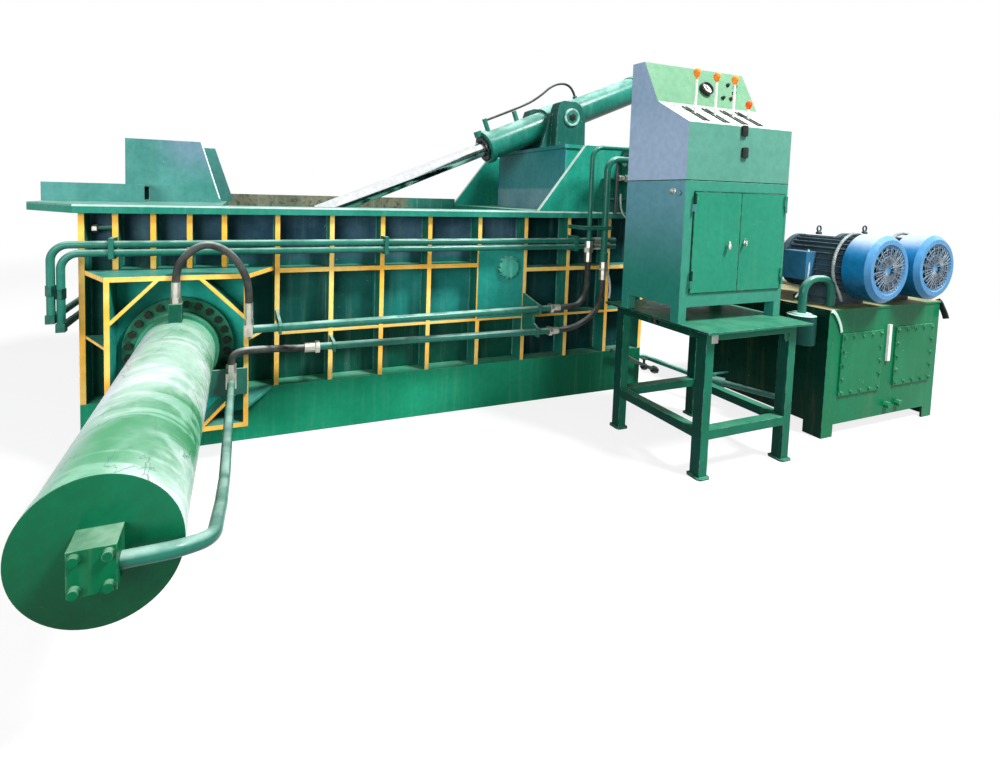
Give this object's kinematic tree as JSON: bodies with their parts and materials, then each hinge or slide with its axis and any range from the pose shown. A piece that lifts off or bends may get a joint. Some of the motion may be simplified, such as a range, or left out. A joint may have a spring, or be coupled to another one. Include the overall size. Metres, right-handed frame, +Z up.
{
  "type": "hydraulic scrap baler",
  "caption": "Hydraulic scrap-metal baling press: ribbed press box with tilting lid, side and main rams, bale gate, lid cylinder on a tower, lever cabinet on a stand and oil tank with motors.",
  "frame": {"origin": "on the floor, at the middle of the underside of the press box's base", "axes": "+X along the press box towards its tower end and the oil tank, +Y from the side cylinder across the box to the bale gate, +Z up"},
  "size_m": [5.127, 3.07, 2.3234],
  "materials": {
    "frame_green": "glossy enamel, a little streaked",
    "base_green": "glossy enamel, dusty at the foot",
    "wall_slate": "dark mottled enamel",
    "rib_amber": "worn enamel",
    "inner_rust": "worn plate, painted outside",
    "cylinder_mint": "semi-gloss, scraped bright in places",
    "tower_teal": "glossy enamel",
    "pipe_green": "enamel",
    "zinc": "zinc plated",
    "chrome_rod": "polished",
    "bright_steel": "turned steel",
    "hose_black": "matt",
    "cabinet_green": "satin enamel",
    "console_pale": "satin enamel",
    "door_green": "satin enamel",
    "stand_green": "satin enamel",
    "tank_green": "satin enamel",
    "motor_blue": "semi-gloss",
    "cowl_blue": "glossy enamel",
    "fan_black": "moulded",
    "lever_steel": "bright",
    "button_red": "moulded",
    "button_green": "moulded",
    "black_trim": "moulded",
    "pointer_black": "flat"
  },
  "bodies": {
    "machine": {"base_frame": "base_green", "front_wall": "wall_slate", "front_ribs": "rib_amber", "back_wall": "inner_rust", "end_walls": "frame_green", "top_flange": "frame_green", "end_cover": "tower_teal", "gate_beam": "tower_teal", "cylinder_bracket": "cylinder_mint", "side_cylinder": "cylinder_mint", "flange_bolts": "zinc", "port_blocks": "frame_green", "main_cylinder": "frame_green", "hinge_shaft": "frame_green", "tower": "frame_green", "trunnion_bearings": "tower_teal", "gate_guides": "frame_green", "gate_cylinder": "frame_green", "stand": "stand_green", "cabinet": "cabinet_green", "console": "console_pale", "panel_fittings": "black_trim", "tank": "tank_green", "tank_fittings": "tank_green", "motor_1": "motor_blue", "motor_2": "motor_blue", "cowl_1": "cowl_blue", "cowl_2": "cowl_blue", "pumps": "bright_steel", "wall_pipes": "pipe_green", "riser_pipes": "pipe_green", "rear_pipe": "pipe_green", "tank_pipes": "pipe_green", "top_port_hose": "hose_black", "rear_line_hose": "hose_black", "upper_riser_hose": "hose_black", "lower_riser_hose": "hose_black", "valve_blocks": "frame_green", "pipe_clamps": "pipe_green", "pipe_fittings": "zinc"},
    "lid": {"lid": "frame_green"},
    "lid_cylinder": {"lid_cylinder": "frame_green", "lid_hose": "hose_black"},
    "lid_rod": {"lid_rod": "chrome_rod"},
    "main_ram": {"main_ram": "bright_steel"},
    "side_ram": {"side_ram": "bright_steel"},
    "gate": {"gate": "frame_green"},
    "left_door": {"left_door": "door_green"},
    "right_door": {"right_door": "door_green"},
    "lever_1": {"lever_1": "lever_steel"},
    "lever_2": {"lever_2": "lever_steel"},
    "lever_3": {"lever_3": "lever_steel"},
    "lever_4": {"lever_4": "lever_steel"},
    "button_1": {"button_1": "button_green"},
    "button_2": {"button_2": "button_red"},
    "button_3": {"button_3": "button_green"},
    "gauge_pointer": {"gauge_pointer": "pointer_black"},
    "fan_1": {"fan_1": "fan_black"},
    "fan_2": {"fan_2": "fan_black"},
    "valve_handle": {"valve_handle": "frame_green"}
  },
  "joints": [
    {"name": "lid_hinge", "type": "hinge", "parent": "machine", "child": "lid", "pos_m": [0.587, 0, 0.863], "axis": [0, 1, 0], "range_deg": [0, 70]},
    {"name": "cylinder_swing", "type": "hinge", "parent": "machine", "child": "lid_cylinder", "pos_m": [1.345, 0, 1.893], "axis": [0, 1, 0], "range_deg": [0, 31.19]},
    {"name": "rod_slide", "type": "slide", "parent": "lid_cylinder", "child": "lid_rod", "axis": [0.9255, 0, 0.3789], "range_m": [0, 1.1377]},
    {"name": "main_ram_slide", "type": "slide", "parent": "machine", "child": "main_ram", "axis": [-1, 0, 0], "range_m": [0, 1.5]},
    {"name": "side_ram_slide", "type": "slide", "parent": "machine", "child": "side_ram", "axis": [0, 1, 0], "range_m": [0, 1.135]},
    {"name": "gate_slide", "type": "slide", "parent": "machine", "child": "gate", "axis": [-1, 0, 0], "range_m": [0, 0.6]},
    {"name": "left_door_hinge", "type": "hinge", "parent": "machine", "child": "left_door", "pos_m": [1.064, -1.5853, 1.099], "axis": [0, 0, -1], "range_deg": [0, 110]},
    {"name": "right_door_hinge", "type": "hinge", "parent": "machine", "child": "right_door", "pos_m": [1.685, -1.5853, 1.099], "axis": [0, 0, 1], "range_deg": [0, 110]},
    {"name": "lever_1_pivot", "type": "hinge", "parent": "machine", "child": "lever_1", "pos_m": [1.14, -1.4845, 1.638], "axis": [1, 0, 0], "range_deg": [-18, 18], "stiffness_Nm_per_rad": 6},
    {"name": "lever_2_pivot", "type": "hinge", "parent": "machine", "child": "lever_2", "pos_m": [1.273, -1.4845, 1.638], "axis": [1, 0, 0], "range_deg": [-18, 18], "stiffness_Nm_per_rad": 6},
    {"name": "lever_3_pivot", "type": "hinge", "parent": "machine", "child": "lever_3", "pos_m": [1.398, -1.4845, 1.638], "axis": [1, 0, 0], "range_deg": [-18, 18], "stiffness_Nm_per_rad": 6},
    {"name": "lever_4_pivot", "type": "hinge", "parent": "machine", "child": "lever_4", "pos_m": [1.506, -1.4845, 1.638], "axis": [1, 0, 0], "range_deg": [-18, 18], "stiffness_Nm_per_rad": 6},
    {"name": "button_1_press", "type": "slide", "parent": "machine", "child": "button_1", "axis": [0, 0.9114, -0.4116], "range_m": [0, 0.004], "stiffness_N_per_m": 300},
    {"name": "button_2_press", "type": "slide", "parent": "machine", "child": "button_2", "axis": [0, 0.9114, -0.4116], "range_m": [0, 0.004], "stiffness_N_per_m": 300},
    {"name": "button_3_press", "type": "slide", "parent": "machine", "child": "button_3", "axis": [0, 0.9114, -0.4116], "range_m": [0, 0.004], "stiffness_N_per_m": 300},
    {"name": "gauge_turn", "type": "hinge", "parent": "machine", "child": "gauge_pointer", "pos_m": [1.369, -1.3379, 1.89065], "axis": [0, 0.9114, -0.4116], "range_deg": [0, 270], "stiffness_Nm_per_rad": 0.002},
    {"name": "fan_1_spin", "type": "hinge", "parent": "machine", "child": "fan_1", "pos_m": [2.365, -1.63, 0.95], "axis": [0, 1, 0], "continuous": true},
    {"name": "fan_2_spin", "type": "hinge", "parent": "machine", "child": "fan_2", "pos_m": [2.805, -1.63, 0.95], "axis": [0, 1, 0], "continuous": true},
    {"name": "valve_turn", "type": "hinge", "parent": "machine", "child": "valve_handle", "pos_m": [1.88, -1.085, 0.2], "axis": [0, 0, 1], "range_deg": [0, 90]}
  ],
  "couplings": [
    {"joint": "cylinder_swing", "follows": "lid_hinge", "ratio": 0.44548},
    {"joint": "rod_slide", "follows": "lid_hinge", "m_per_rad": 0.93079}
  ]
}
